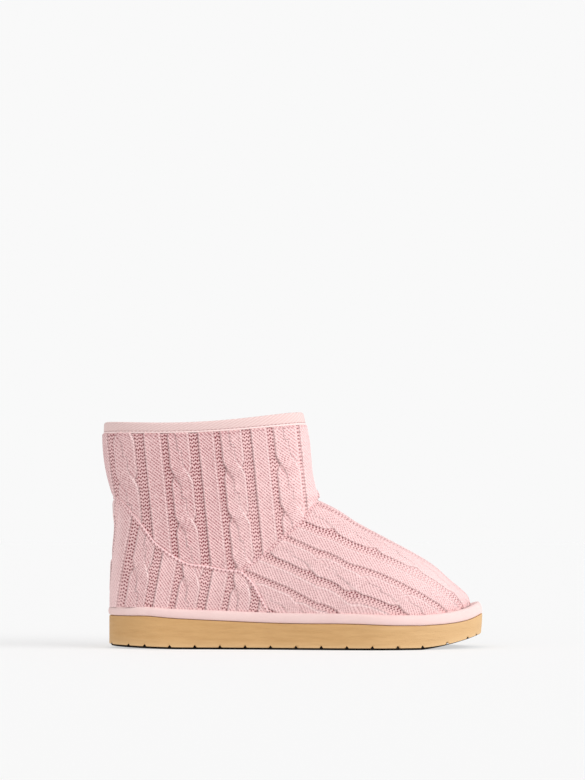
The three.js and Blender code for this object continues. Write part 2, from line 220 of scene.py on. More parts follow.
def upperHalf(x, z):
    level, melt = levelAt(z), boot["melt"]
    a, b = footHalf(x, z, level), shaftHalf(x, level)
    gap = np.maximum(melt - np.abs(a - b), 0) / melt
    return np.maximum(a, b) + gap * gap * melt * np.minimum(a, b) / (np.minimum(a, b) + melt) / 4


# Point of the upper's outer face: level 0 base, 1 throat, 2 collar; turn 0 back, 0.25 outer side
def skin(level, turn):
    level, turn = np.broadcast_arrays(np.asarray(level, float), np.asarray(turn, float))
    share = (1 - np.cos(2 * np.pi * turn)) / 2
    backZ, collarZ = heightAt(level, rimBack), heightAt(level, rimFront)
    frontX = np.where(level < 1, toeBase + (boot["throatReach"] - toeBase) * level, shaftFrontAt(level))
    frontZ = np.where(level < 1, ridge(frontX), collarZ)
    backX = backAt(levelAt(backZ))
    x = backX + (frontX - backX) * share
    footX = backAt(np.array(0.0)) * (1 - share) + toeBase * share
    sag = upperBase(footX) - (heelBase * (1 - share) + upperBase(np.array(toeBase)) * share)
    z = backZ + (frontZ - backZ) * share + np.where(
        level < 1, sag * (1 - level) ** 2, -boot["collarDip"] * np.sin(np.pi * share) * (level - 1) ** 2)
    half = meetAtEnds(share, upperHalf(x, z))
    straight = 1 - ease(heelBase, boot["throatHeight"], z)
    y = centreLine(x) * straight + np.where(turn % 1 <= 0.5, -half, half)
    return np.stack([x, y, z], -1)


def skinNormal(level, turn):
    low = np.maximum(level - 0.004, 0)
    up = skin(level + 0.004, turn) - skin(low, turn)
    along = skin(level, turn + 0.003) - skin(level, turn - 0.003)
    normal = np.cross(along, up)
    return normal / np.maximum(np.linalg.norm(normal, axis=-1, keepdims=True), 1e-9)


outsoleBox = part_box("outsole")
soleOutline = np.linspace(0, soleLength, 400)
shift = np.array([
    -outsoleBox[0][0] * 1000,
    (centreLine(soleOutline) + soleHalf(soleOutline, 0)).max() - outsoleBox[1][1] * 1000,
    0.0,
])


def deselectAll():
    if bpy.context.mode != "OBJECT":
        bpy.ops.object.mode_set(mode="OBJECT")
    bpy.ops.object.select_all(action="DESELECT")


# A grid primitive whose rows and columns are laid on the given points, in millimetres
def gridPiece(name, points, uv=None, closeRound=False, flip=False):
    rows, columns = points.shape[:2]
    deselectAll()
    bpy.ops.mesh.primitive_grid_add(x_subdivisions=columns - 1, y_subdivisions=rows - 1, size=1)
    piece = bpy.context.object
    piece.name = piece.data.name = name
    mesh = piece.data
    mesh.vertices.foreach_set("co", ((points - shift) / 1000).reshape(-1))
    if uv is not None:
        corner = np.empty(len(mesh.loops), int)
        mesh.loops.foreach_get("vertex_index", corner)
        mesh.uv_layers.active.data.foreach_set("uv", uv.reshape(-1, 2)[corner].reshape(-1))
    mesh.update()
    bpy.ops.object.mode_set(mode="EDIT")
    bpy.ops.mesh.select_all(action="SELECT")
    if flip:
        bpy.ops.mesh.flip_normals()
    if closeRound:
        bpy.ops.mesh.remove_doubles(threshold=1e-6)
    bpy.ops.object.mode_set(mode="OBJECT")
    bpy.ops.object.shade_smooth()
    return piece


def selectOnly(piece):
    deselectAll()
    bpy.context.view_layer.objects.active = piece
    piece.select_set(True)


# Merges the points that meet, turns all faces outwards and keeps edges sharper than the crease angle
def closeShell(piece, crease=None):
    selectOnly(piece)
    bpy.ops.object.mode_set(mode="EDIT")
    bpy.ops.mesh.select_all(action="SELECT")
    bpy.ops.mesh.remove_doubles(threshold=1e-6)
    bpy.ops.mesh.normals_make_consistent(inside=False)
    bpy.ops.object.mode_set(mode="OBJECT")
    if crease:
        bpy.ops.object.shade_smooth_by_angle(angle=math.radians(crease))


def storeShade(piece, values, name):
    layer = piece.data.attributes.new(name, "FLOAT", "POINT")
    layer.data.foreach_set("value", np.ascontiguousarray(values.reshape(-1), dtype=np.float32))


# One value for each row of a grid
def storeRows(piece, rowValues, columns, name):
    storeShade(piece, np.repeat(np.array(rowValues, float), columns), name)


def dress(piece, material, slotName, *nodes):
    piece.data.materials.clear()
    piece.data.materials.append(material)
    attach(piece, "root")
    if nodes:
        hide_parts(*nodes)
    return piece


# A material with fixed values on its Principled shader
def newMaterial(name, **sockets):
    material = bpy.data.materials.new(name)
    material.use_nodes = True
    shader = material.node_tree.nodes["Principled BSDF"]
    for socket, value in sockets.items():
        shader.inputs[socket.replace("_", " ")].default_value = value
    return material, material.node_tree, shader


def hexColour(text):
    values = [int(text[i:i + 2], 16) / 255 for i in (0, 2, 4)]
    return tuple(v / 12.92 if v <= 0.04045 else ((v + 0.055) / 1.055) ** 2.4 for v in values) + (1.0,)


# Gives a socket a number, a colour written as in a picture editor, or the output of another node
def feed(tree, socket, value):
    if isinstance(value, str):
        socket.default_value = hexColour(value)
    elif isinstance(value, (int, float)):
        socket.default_value = value
    else:
        tree.links.new(value, socket)


def maths(tree, operation, first, second=None, third=None, clamp=False):
    node = tree.nodes.new("ShaderNodeMath")
    node.operation = operation
    node.use_clamp = clamp
    for socket, value in zip(node.inputs, (first, second, third)):
        if value is not None:
            feed(tree, socket, value)
    return node.outputs[0]


def times(tree, first, second, clamp=False):
    return maths(tree, "MULTIPLY", first, second, clamp=clamp)


def plus(tree, first, second):
    return maths(tree, "ADD", first, second)


def splitVector(tree, vector):
    node = tree.nodes.new("ShaderNodeSeparateXYZ")
    tree.links.new(vector, node.inputs[0])
    return node.outputs


# A cosine from 0 to 1 with its crests at whole turns
def wave(tree, turns):
    cosine = maths(tree, "COSINE", times(tree, turns, 2 * math.pi))
    return maths(tree, "MULTIPLY_ADD", cosine, 0.5, 0.5)


def blend(tree, factor, first, second):
    node = tree.nodes.new("ShaderNodeMix")
    tree.links.new(factor, node.inputs[0])
    tree.links.new(first, node.inputs[2])
    tree.links.new(second, node.inputs[3])
    return node.outputs[0]


def mixColour(tree, factor, first, second):
    node = tree.nodes.new("ShaderNodeMix")
    node.data_type = "RGBA"
    for index, value in ((0, factor), (6, first), (7, second)):
        feed(tree, node.inputs[index], value)
    return node.outputs[2]


def noise(tree, coordinates, scale, detail=3, roughness=0.55):
    node = tree.nodes.new("ShaderNodeTexNoise")
    tree.links.new(coordinates, node.inputs["Vector"])
    node.inputs["Scale"].default_value = scale
    node.inputs["Detail"].default_value = detail
    node.inputs["Roughness"].default_value = roughness
    return node.outputs["Fac"]


# Coordinates scaled along the height, for long or flat patterns
def stretchedUp(tree, coordinates, scale):
    node = tree.nodes.new("ShaderNodeMapping")
    node.inputs["Scale"].default_value = (1.0, 1.0, scale)
    tree.links.new(coordinates, node.inputs["Vector"])
    return node.outputs["Vector"]


def bump(tree, height, distance, under=None):
    node = tree.nodes.new("ShaderNodeBump")
    node.inputs["Distance"].default_value = distance
    node.inputs["Strength"].default_value = 1.0
    tree.links.new(height, node.inputs["Height"])
    if under is not None:
        tree.links.new(under, node.inputs["Normal"])
    return node.outputs["Normal"]


def finishSurface(tree, shader, colour, normal):
    tree.links.new(colour, shader.inputs["Base Color"])
    tree.links.new(normal, shader.inputs["Normal"])


def objectCoordinates(tree):
    return tree.nodes.new("ShaderNodeTexCoord").outputs["Object"]


def uvCoordinates(tree):
    return tree.nodes.new("ShaderNodeUVMap").outputs["UV"]


def attribute(tree, name):
    node = tree.nodes.new("ShaderNodeAttribute")
    node.attribute_name = name
    return node.outputs["Fac"]


def newGroup(name, inputs, outputs):
    group = bpy.data.node_groups.new(name, "ShaderNodeTree")
    for way, sockets in (("INPUT", inputs), ("OUTPUT", outputs)):
        for label, kind in sockets.items():
            group.interface.new_socket(label, in_out=way, socket_type="NodeSocket" + kind)
    return group, group.nodes.new("NodeGroupInput"), group.nodes.new("NodeGroupOutput")


def placeGroup(tree, group, **values):
    node = tree.nodes.new("ShaderNodeGroup")
    node.node_tree = group
    for label, value in values.items():
        feed(tree, node.inputs[label], value)
    return node


# Stitches: the UV map counts wales across and rows down. Purl is 1 where the back of the stitch shows.
stitchGroup, stitchIn, stitchOut = newGroup(
    "knitStitches", {"Wales": "Vector", "Purl": "Float"}, {"Height": "Float", "Gap": "Float", "Each": "Float"})
wales, rows = splitVector(stitchGroup, stitchIn.outputs["Wales"])[:2]
slanted = wave(stitchGroup, maths(stitchGroup, "SUBTRACT", rows, wales))
crossed = wave(stitchGroup, plus(stitchGroup, rows, wales))
# The Gap output is painted shade in the gaps between the loops: a slanting hatch on plain knit, rows of holes on
# purl
plainGap = times(stitchGroup, maths(stitchGroup, "POWER", slanted, 1.3),
                 maths(stitchGroup, "MULTIPLY_ADD", crossed, 0.7, 0.3))
zigzag = times(stitchGroup, maths(stitchGroup, "COSINE", times(stitchGroup, wales, math.pi)), 0.18)
chain = maths(stitchGroup, "POWER", wave(stitchGroup, plus(stitchGroup, rows, zigzag)), 2.0)
purlGap = maths(stitchGroup, "MINIMUM", times(stitchGroup, chain, maths(
    stitchGroup, "MULTIPLY_ADD", wave(stitchGroup, wales), 1.15, 0.2)), 1.0)
gap = blend(stitchGroup, stitchIn.outputs["Purl"], plainGap, purlGap)
stitchGroup.links.new(gap, stitchOut.inputs["Gap"])
cell = stitchGroup.nodes.new("ShaderNodeCombineXYZ")
for i, count in enumerate((wales, rows)):
    stitchGroup.links.new(maths(stitchGroup, "FLOOR", count), cell.inputs[i])
stitchGroup.links.new(noise(stitchGroup, cell.outputs[0], 0.77, 2, 0.9), stitchOut.inputs["Each"])
stitchGroup.links.new(maths(stitchGroup, "SUBTRACT", 1.0, gap), stitchOut.inputs["Height"])

# Twill: slanting ribs of thread, on a UV map in millimetres
twillGroup, twillIn, twillOut = newGroup(
    "fineTwill", {"Place": "Vector", "Across": "Float", "Down": "Float"}, {"Height": "Float"})
twillPlace = splitVector(twillGroup, twillIn.outputs["Place"])
slant = plus(twillGroup, maths(twillGroup, "DIVIDE", twillPlace[0], twillIn.outputs["Across"]),
             maths(twillGroup, "DIVIDE", twillPlace[1], twillIn.outputs["Down"]))
threads = wave(twillGroup, maths(twillGroup, "DIVIDE", twillPlace[0], 0.55))
twillRelief = plus(twillGroup, times(twillGroup, wave(twillGroup, slant), 0.85), times(twillGroup, threads, 0.15))
twillGroup.links.new(twillRelief, twillOut.inputs["Height"])

# Mottle: soft uneven colour, the same in every cloth
mottleGroup, mottleIn, mottleOut = newGroup(
    "softMottle", {"Place": "Vector"}, {"Value": "Float", "Fuzz": "Float"})
mottleGroup.links.new(noise(mottleGroup, mottleIn.outputs["Place"], 60, 3), mottleOut.inputs["Value"])
mottleGroup.links.new(noise(mottleGroup, mottleIn.outputs["Place"], 1500, 2), mottleOut.inputs["Fuzz"])

# Colours of the knit, of the painted shade in its holes and stitch gaps and of its painted highlight rims, and
# how strong its hatch, specks and blotches are
knitLook = {
    "light": "f9d4d3", "shadeAndSpeck": "a3535b", "purl": "f9d0cf",
    "holeShade": "842834", "rim": "ffe3e1", "bump": 0.0004, "hatchShare": 0.95,
    "speckShare": 0.35, "wander": 1.5, "blotch": 0.12,
}


def knitMaterial():
    material, tree, shader = newMaterial("knitPink", Roughness=0.92, Sheen_Weight=0.3, Sheen_Roughness=0.5,
                                         Specular_IOR_Level=0.15)
    uv = uvCoordinates(tree)
    # cavity: painted shade in recesses; depth: how strong the painted shade in the holes is; rim: painted
    # highlight
    purl, cavityShade, depth = attribute(tree, "purl"), attribute(tree, "cavityShade"), attribute(tree, "depth")
    mottle = placeGroup(tree, mottleGroup, Place=objectCoordinates(tree))
    drift = noise(tree, objectCoordinates(tree), 210, 2)
    loose = maths(tree, "MULTIPLY_ADD", purl, -0.35 * knitLook["wander"], knitLook["wander"])
    # Shifts the stitches a little, so that no row is quite straight
    shifted = tree.nodes.new("ShaderNodeVectorMath")
    tree.links.new(uv, shifted.inputs[0])
    tree.links.new(times(tree, maths(tree, "SUBTRACT", drift, 0.5), loose), shifted.inputs[1])
    stitches = placeGroup(tree, stitchGroup, Wales=shifted.outputs[0], Purl=purl)
    uneven = maths(tree, "MULTIPLY_ADD", stitches.outputs["Each"], 2.0, 0.1)
    # Painted shade between the loops and in the purl holes
    gap = times(tree, stitches.outputs["Gap"], times(tree, uneven, depth), clamp=True)
    frayed = maths(tree, "MULTIPLY_ADD", mottle.outputs["Fuzz"], 2.4, -0.55, clamp=True)
    plain = mixColour(tree, times(tree, gap, times(tree, frayed, knitLook["hatchShare"])),
                      knitLook["light"], knitLook["shadeAndSpeck"])
    holes = mixColour(tree, gap, knitLook["purl"], knitLook["holeShade"])
    colour = mixColour(tree, purl, plain, holes)
    speck = times(tree, maths(tree, "GREATER_THAN", mottle.outputs["Fuzz"], 0.64),
                  times(tree, depth, knitLook["speckShare"]))
    blotch = times(tree, mottle.outputs["Value"], times(tree, depth, knitLook["blotch"]))
    # Painted shade along the ribs' feet and beside the seams, with random specks and blotches
    shadeAndMottle = plus(tree, plus(tree, speck, times(tree, cavityShade, 0.4)), blotch)
    colour = mixColour(tree, shadeAndMottle, colour, knitLook["shadeAndSpeck"])
    # Painted highlight on the rims of the ribs and cables
    colour = mixColour(tree, times(tree, attribute(tree, "rim"), 0.75), colour, knitLook["rim"])
    grain = plus(tree, stitches.outputs["Height"], times(tree, mottle.outputs["Fuzz"], 0.5))
    finishSurface(tree, shader, colour, bump(tree, grain, knitLook["bump"]))
    return material


knitPink = knitMaterial()
print("surface and materials ready")

# Knit pattern, in millimetres: a wide purl column, a plain rib, a narrow purl column and a cable
knit = {
    "widePurl": 6.4, "rib": 11.4, "narrowPurl": 4.6, "cable": 15.2, "row": 2.5,
    "ribWale": 2.5, "purlWale": 1.36, "sink": 0.6, "edge": 1.3, "lip": 0.3, "crown": 0.15, "purlBump": 0.2,
    "crossLift": 0.8, "crossSink": 0.6, "crossLength": 8.5, "crossGather": 0.18, "endGather": 0.75,
}
ribFrom = knit["widePurl"] / 2
ribTo = ribFrom + knit["rib"]
cableFrom = ribTo + knit["narrowPurl"]
cableTo = cableFrom + knit["cable"]
repeat = cableTo + ribFrom


# Height, purl mask, painted shade, painted highlight rims, weight of the painted hole shade and stitch count over
# the pattern.
# w runs across it and v down it. Purl columns between the two places in lone are one stitch wide.
def knitRelief(w, v, period, crossAt, crossRelief, lone, holeShadeLean):
    m = np.mod(w + ribFrom, repeat) - ribFrom
    row = v / knit["row"]
    half = knit["edge"] / 2
    ribMiddle = (ribFrom + ribTo) / 2
    fromRib = np.abs(m - ribMiddle) - knit["rib"] / 2
    # Two flat strands that change places, the front one over the back one
    middle, strand = (cableFrom + cableTo) / 2, knit["cable"] / 4
    cross = np.mod(v - crossAt + period / 2, period) - period / 2
    long = knit["crossLength"]
    swing = (strand - half) * (2 * ease(-long, long, cross) - 1)
    near = crossRelief * np.exp(-(cross / (0.8 * long)) ** 2)
    reach = (strand + half) * (1 + knit["crossGather"] * near)
    front, back = m - middle - swing, m - middle + swing
    fromFront, fromBack = np.abs(front) - reach, np.abs(back) - reach
    fromCable = np.minimum(fromFront, fromBack)
    onTop = 1 - ease(-0.5, 0.5, fromFront)
    arched = np.sqrt(np.clip(1 - (front / (reach + 0.5)) ** 2, 0, 1))
    frontHeight = knit["crown"] + knit["crossLift"] * near * arched
    backHeight = knit["crown"] - knit["crossSink"] * near
    ribOn, cableOn = 1 - ease(-half, half, fromRib), 1 - ease(-half, half, fromCable)
    purl = 1 - np.maximum(ribOn, cableOn)
    inRib, inCable = ribOn > 0.5, cableOn > 0.5
    # Stitches counted from the middle of what they belong to
    narrow = (m > ribMiddle) & (m < middle)
    purlMiddle = np.where(narrow, (ribTo + cableFrom) / 2, np.where(m > middle, repeat, 0))
    strandMiddle = np.where(onTop > 0.5, middle + swing, middle - swing)
    start = np.where(inCable, strandMiddle, np.where(inRib, ribMiddle, purlMiddle))
    pitch = np.where(inCable | inRib, knit["ribWale"], np.where(
        (w > lone[0]) & (w < lone[1]), knit["widePurl"], knit["purlWale"]))
    wale = (m - start) / pitch
    bumps = np.cos(2 * np.pi * (row + 0.21 * np.cos(np.pi * wale)))
    purlHeight = -knit["sink"] - knit["purlBump"] * bumps
    nearest = np.minimum(fromRib, fromCable)
    lips = knit["lip"] * np.exp(-((nearest + 1.1) / 0.8) ** 2)
    cableHeight = backHeight + (frontHeight - backHeight) * onTop
    height = purl * purlHeight + (1 - purl) * (np.where(ribOn >= cableOn, knit["crown"], cableHeight) + lips)
    # Painted shade along the foot of the ribs and cables, and in the cleft beside each crossing
    cleft = np.where(inRib, 0, near * np.exp(-((fromFront - 0.6) / 0.9) ** 2) * (front < 0))
    darkness = 0.15 * np.exp(-((nearest - 0.3) / 0.5) ** 2) + 0.15 * cleft
    # Painted highlights: a bright rim on the lit edge of each rib and cable, and on the raised edge of the front
    # strand
    crestHighlight = near * np.exp(-((fromFront + 0.7) / 0.6) ** 2) * (front > 0)
    lit = 1 - holeShadeLean * np.sign(np.where(inCable, m - middle, m - ribMiddle))
    rim = 0.45 * lit * np.exp(-((nearest + 0.75) / 0.5) ** 2) + 0.8 * np.where(inCable, crestHighlight, 0)
    # The painted shade in the holes leans to one side of each purl column
    weight = 1 - holeShadeLean * purl * np.clip((m - purlMiddle) / 2.6, -1, 1)
    purl = np.maximum(purl, 0.6 * cleft)
    return height, purl, np.clip(darkness, 0, 1), np.clip(rim, 0, 1), weight, np.stack([wale, row], -1)


# Seams between the panels, as seen from the side: height against distance from the heel end
seamDown = {"z": [107.9, 105.4, 89.2, 75.4, 67.6, 62.4, 59.6, 58.2, 55.9, 54.9],
            "x": [3.3, 9.9, 24.0, 34.4, 44.5, 53.0, 60.3, 73.3, 83.4, 95.4]}
seamFoot = {"z": [54.9, 49.5, 41.2, 35.7, 27.4, 20], "x": [95.4, 101.8, 107.4, 110.2, 113.8, 117]}
seamUp = {"z": [54.9, 62.4, 69.7, 78.9, 82.2, 87.4, 89.6, 93.8, 105.0, 106.5],
          "x": [95.4, 105.7, 115.9, 124.1, 129.5, 135.1, 138.0, 141.2, 149.6, 150.7]}

# The skin on a fine grid, to measure the knit along
ringTurns = np.linspace(0, 0.5, 420)
ringLevels = np.linspace(0, 2, 360)
ringTable = skin(ringLevels[:, None], ringTurns[None, :])


def runningSum(steps):
    return np.concatenate([np.zeros(steps.shape[:-1] + (1,)), np.cumsum(steps, axis=-1)], axis=-1)


def lengthAlong(points):
    return runningSum(np.linalg.norm(np.diff(points, axis=0), axis=1))


# Levels and turns of points along a seam on the outer side
def onSkin(seam, count):
    knots = runningSum(np.hypot(np.diff(seam["x"]), np.diff(seam["z"])))
    t = np.linspace(0, knots[-1], count)
    x, z = np.interp(t, knots, seam["x"]), np.interp(t, knots, seam["z"])
    levels = np.linspace(0, 1.1, 600)
    grid = skin(levels[:, None], ringTurns[None, :])
    found = np.empty((count, 2))
    for i in range(count):
        miss = (grid[..., 0] - x[i]) ** 2 + (grid[..., 2] - z[i]) ** 2
        a, b = np.unravel_index(np.argmin(miss), miss.shape)
        found[i] = levels[a], ringTurns[b]
    kernel = np.ones(9) / 9
    return [np.convolve(np.pad(column, 4, mode="edge"), kernel, mode="valid") for column in found.T]


# The shaft's knit ends a little under the tape, and the heel seam starts in the hollow at the back
neckLevel = 2 - (boot["bindingHeight"] + clearance) / shaftRise + 0.012
notchLevel = 1 + (seamDown["z"][0] - boot["throatHeight"]) / shaftRise
downLevel, downTurn = onSkin(seamDown, 160)
footLevel, footTurn = onSkin(seamFoot, 60)
upLevel, upTurn = onSkin(seamUp, 120)
meetLevel = (downLevel[-1] + footLevel[0] + upLevel[0]) / 3
meetTurn = (downTurn[-1] + footTurn[0] + upTurn[0]) / 3
keep = footLevel > 0.02
baseTurn = float(np.interp(0, footLevel[::-1], footTurn[::-1]))
seamLines = {
    "seamCounter": (np.r_[notchLevel, downLevel[6:-3], meetLevel], np.r_[0, downTurn[6:-3], meetTurn]),
    "seamFoot": (np.r_[meetLevel, footLevel[keep][3:], 0], np.r_[meetTurn, footTurn[keep][3:], baseTurn]),
    "seamVamp": (np.r_[meetLevel, upLevel[3:-6], 1], np.r_[meetTurn, upTurn[3:-6], 0.5]),
}


# Level of a seam at the given turns
def seamAt(name, turns):
    level, turn = seamLines[name]
    order = np.argsort(turn, kind="stable")
    return np.interp(turns, turn[order], level[order])


# Distance across the knit, even as seen from the side and gathered a little round the ends
def patternTable(lean, lineX, lineZ):
    step = np.diff(ringTable, axis=1)
    along = np.abs(step[..., 0] + lean * step[..., 2])
    whole = np.maximum(along, knit["endGather"] * np.linalg.norm(step, axis=-1))
    w = runningSum(whole)
    miss = ringTable[..., 0] - (lineX + lean * (lineZ - ringTable[..., 2]))
    for i in range(len(w)):
        w[i] -= np.interp(0, miss[i], w[i])
    return w


# A table's value between its rows and columns
def readTable(table, row, column):
    i, j = row.astype(int), column.astype(int)
    a, b = row - i, column - j
    return ((table[i, j] * (1 - b) + table[i, j + 1] * b) * (1 - a)
            + (table[i + 1, j] * (1 - b) + table[i + 1, j + 1] * b) * a)


def lookUp(table, level, turn):
    return readTable(table, np.clip(level / ringLevels[1], 0, len(ringLevels) - 1.001),
                     np.clip(turn / ringTurns[1], 0, len(ringTurns) - 1.001))


# Where the vamp's columns lie, and how they close up towards the toe
vampStretch = {"at": [115, 130, 150, 215, 231, 241, 253, 263], "by": [1.06, 1.05, 1, 1, 1.04, 1.12, 1.25, 1.35]}
vampColumns = {"seen": [0, 12, 36.5, 51, 70, 86, 140], "knit": [0, 7.95, 28.65, 45.55, 66.25, 83.15, 137]}


# Distance down the side of the vamp from its ridge, square to the knit columns
def vampAcross(x, z):
    def topLine(at):
        behind = boot["throatReach"] - at
        return np.where(behind > 0, boot["throatHeight"] + 0.5 * behind, ridge(at))
    stations = np.linspace(60, toeBase - 0.05, 220)
    s = np.linspace(1, 0, 90)
    base, top = upperBase(stations), topLine(stations)
    zs = base[:, None] + s[None, :] * (top - base)[:, None]
    wide = (fullHalf(stations) - boot["sideInset"]) * toeRound(stations, toeBase)
    half = wide[:, None] * np.sqrt(1 - s[None, :] ** follow(arch, "power", stations / soleLength)[:, None])
    flatten = 1 / np.sqrt(1 + np.gradient(top, stations) ** 2)
    steps = np.sqrt(np.diff(half, axis=1) ** 2 + (flatten[:, None] * np.diff(zs, axis=1)) ** 2)
    run = runningSum(steps)
    share = np.clip((z - upperBase(x)) / np.maximum(topLine(x) - upperBase(x), 0.01), 0, 1)
    fx = np.clip((x - stations[0]) / (stations[1] - stations[0]), 0, len(stations) - 1.001)
    fs = np.clip((1 - share) * (len(s) - 1), 0, len(s) - 1.001)
    stretched = readTable(run, fx, fs) * np.interp(x, vampStretch["at"], vampStretch["by"])
    return np.interp(stretched, vampColumns["seen"], vampColumns["knit"])


# Distance from the nearest seam
def seamDistance(points):
    flat = points.reshape(-1, 3)
    nearest = np.full(len(flat), 1e9)
    for level, turn in seamLines.values():
        line = skin(level, turn)
        for a, b in zip(line[:-1:2], line[2::2]):
            span = b - a
            t = np.clip(((flat - a) @ span) / max(span @ span, 1e-9), 0, 1)
            nearest = np.minimum(nearest, ((flat - a - t[:, None] * span) ** 2).sum(1))
    return np.sqrt(nearest).reshape(points.shape[:-1])


# Turns from low to high, an even distance apart along the ring at a level
def spreadTurns(low, high, level, count):
    turns = np.linspace(low, high, 600)
    ring = skin(np.full(600, level), turns)
    run = lengthAlong(ring)
    return np.interp(np.linspace(0, run[-1], count), run, turns)


# One knitted panel of one side, cut along its seams and raised into ribs, purl and cables
def knitPanel(name, turns, bottom, top, pattern, inner):
    level = bottom + (top - bottom) * np.linspace(0, 1, pattern["rows"])[:, None]
    turn = np.broadcast_to(turns, level.shape)
    outer = skin(level, turn)
    x, z = outer[..., 0], outer[..., 2]
    w = pattern["across"](level, turn, x, z) + pattern["start"]
    v = pattern["down"](x, z, w)
    height, purl, darkness, rim, weight, uv = knitRelief(w, v, **pattern["relief"])
    apart = seamDistance(outer)
    height = height * ease(0.2, 2.6, apart) - 0.55 * np.exp(-(apart / 1.0) ** 2)
    # Painted shade in the dip beside each seam
    darkness = np.clip(darkness + 0.4 * np.exp(-(apart / 1.2) ** 2), 0, 1)
    # depth: strength of the painted shade in the holes
    height, depth = pattern["finish"](x, z, turn, height)
    depth = depth * weight
    # The free edges are tucked in, under the tape and onto the wrapped board
    if pattern["tuckTop"]:
        # Dark dashes under the tape: the knit's stitches with the painted shadow of the tape's hem
        darkness[-8:-3] = np.maximum(darkness[-8:-3], 0.75 * (np.cos(2 * np.pi * w[-8:-3] / 2.9) > -0.2))
    height[-3:] -= pattern["tuckTop"] * np.array([[0.15], [0.55], [1]])
    side = 1 - turn if inner else turn
    points = skin(level, side) + skinNormal(level, side) * height[..., None]
    points[0, :, 2] -= np.where(np.broadcast_to(bottom, turns.shape) <= 0.002, 0.6, 0)
    piece = gridPiece(name, points, uv, flip=inner)
    for values, label in ((purl, "purl"), (darkness, "cavityShade"), (rim, "rim"), (depth, "depth")):
        storeShade(piece, values, label)
    return dress(piece, knitPink, "knit", "upper")


# How dark the painted shade in the holes is along the boot, from the heel to the toe, paler towards the toe where
# the key lamp falls
def holeShadeToToe(x):
    return np.interp(x, [0, 60, 140, 200, 262], [1.1, 1.05, 0.9, 0.8, 0.74])


# The painted shade in the shaft's holes is darkest in its middle and pale at its front edge
def shaftFinish(x, z, turn, height):
    middle = 0.5 * ease(20, 50, x) * (1 - ease(75, 100, x))
    return height, (1.15 * holeShadeToToe(1.35 * x + 0.25 * (z - 60)) + middle) * (1 - 0.45 * ease(131, 142, x))


# The painted shade in the counter's holes is weaker at the middle of the back
def counterFinish(x, z, turn, height):
    return height, holeShadeToToe(x) * (0.3 + 0.7 * ease(0.045, 0.075, turn))


# The uppermost columns of the vamp flatten out towards the toe, and the painted shade in their holes fades with
# them
def vampFinish(x, z, turn, height):
    share = (z - upperBase(x)) / np.maximum(ridge(x) - upperBase(x), 0.01)
    fade = 1 - 0.8 * ease(0.35, 0.75, share) * ease(180, 235, x)
    flat = height * (0.8 - 0.4 * ease(215, 262, x)) * fade - 1.8 * ease(226, 262, x)
    return flat, 0.84 * holeShadeToToe(x) * fade


shaftTable = patternTable(0.0968, 62.3, 150.9)
counterTable = patternTable(-0.19, 49.8, 45.6)
shaftKnit = {
    "across": lambda level, turn, x, z: np.interp(
        lookUp(shaftTable, level, turn), [-83.7, -60.9, -39.1, -20.6, 54.6, 73.6, 75.9, 110],
        [-81, -58.2, -37.6, -20.6, 54.6, 71.9, 78.5, 112.6]), "start": 0.0,
    "down": lambda x, z, w: 151 - z + 0.11 * w,
    "relief": {"period": 34.0, "crossAt": 26.0, "crossRelief": 1.0, "lone": (70, 90), "holeShadeLean": -0.15},
    "finish": shaftFinish, "tuckTop": 1.7, "columns": 345, "rows": 195,
}
counterKnit = {
    "across": lambda level, turn, x, z: np.interp(
        lookUp(counterTable, level, turn), [-77, -42.6, -40.9, -34.1, -32.4, -16.9, 103],
        [-75.3, -41.5, -40, -35.2, -33.5, -16.9, 103]), "start": ribTo + knit["narrowPurl"] / 2,
    "down": lambda x, z, w: -0.19 * x - z,
    "relief": {"period": 34.0, "crossAt": -62.0, "crossRelief": 1.0, "lone": (0, 0), "holeShadeLean": 0.0},
    "finish": counterFinish, "tuckTop": 0, "columns": 215, "rows": 150,
}
vampKnit = {
    "across": lambda level, turn, x, z: vampAcross(x, z), "start": (ribFrom + ribTo) / 2,
    "down": lambda x, z, w: 0.887 * x - 0.462 * z,
    "relief": {"period": 32.8, "crossAt": 103.5, "crossRelief": 0.6, "lone": (0, 0), "holeShadeLean": 0.7},
    "finish": vampFinish, "tuckTop": 0, "columns": 300, "rows": 235,
}
shaftTurns = spreadTurns(0, 0.5, 1.3, shaftKnit["columns"])
shaftBottom = np.where(shaftTurns < meetTurn, seamAt("seamCounter", shaftTurns),
                       seamAt("seamVamp", shaftTurns))
counterTurns = spreadTurns(0, baseTurn, 0.3, counterKnit["columns"])
counterTop = np.where(counterTurns < meetTurn, seamAt("seamCounter", counterTurns),
                      seamAt("seamFoot", counterTurns))
counterTop[-1] = 0.002
vampTurns = spreadTurns(meetTurn, 0.5, 0.2, vampKnit["columns"])
vampBottom = np.where(vampTurns < baseTurn, seamAt("seamFoot", vampTurns), 0)
vampTop = np.maximum(seamAt("seamVamp", vampTurns), vampBottom)
for inner, sideName in ((False, "Outer"), (True, "Inner")):
    knitPanel("knitShaft" + sideName, shaftTurns, shaftBottom, neckLevel, shaftKnit, inner)
    knitPanel("knitCounter" + sideName, counterTurns, 0, counterTop, counterKnit, inner)
    knitPanel("knitVamp" + sideName, vampTurns, vampBottom, vampTop, vampKnit, inner)
    print("knit panels done:", sideName)


# A cord laid along points, in millimetres
def tubeAlong(name, centres, normals, radius, sides=8):
    ahead = np.gradient(centres, axis=0)
    ahead /= np.linalg.norm(ahead, axis=1, keepdims=True)
    across = np.cross(ahead, normals)
    across /= np.linalg.norm(across, axis=1, keepdims=True)
    up = np.cross(across, ahead)
    angle = np.linspace(0, 2 * np.pi, sides + 1)
    ring = (np.cos(angle)[None, :, None] * across[:, None, :] + np.sin(angle)[None, :, None] * up[:, None, :])
    points = centres[:, None, :] + ring * radius
    uv = np.stack(np.broadcast_arrays(lengthAlong(centres)[:, None], angle[None, :] * 0.5), -1)
    return gridPiece(name, points, uv, closeRound=True, flip=True)


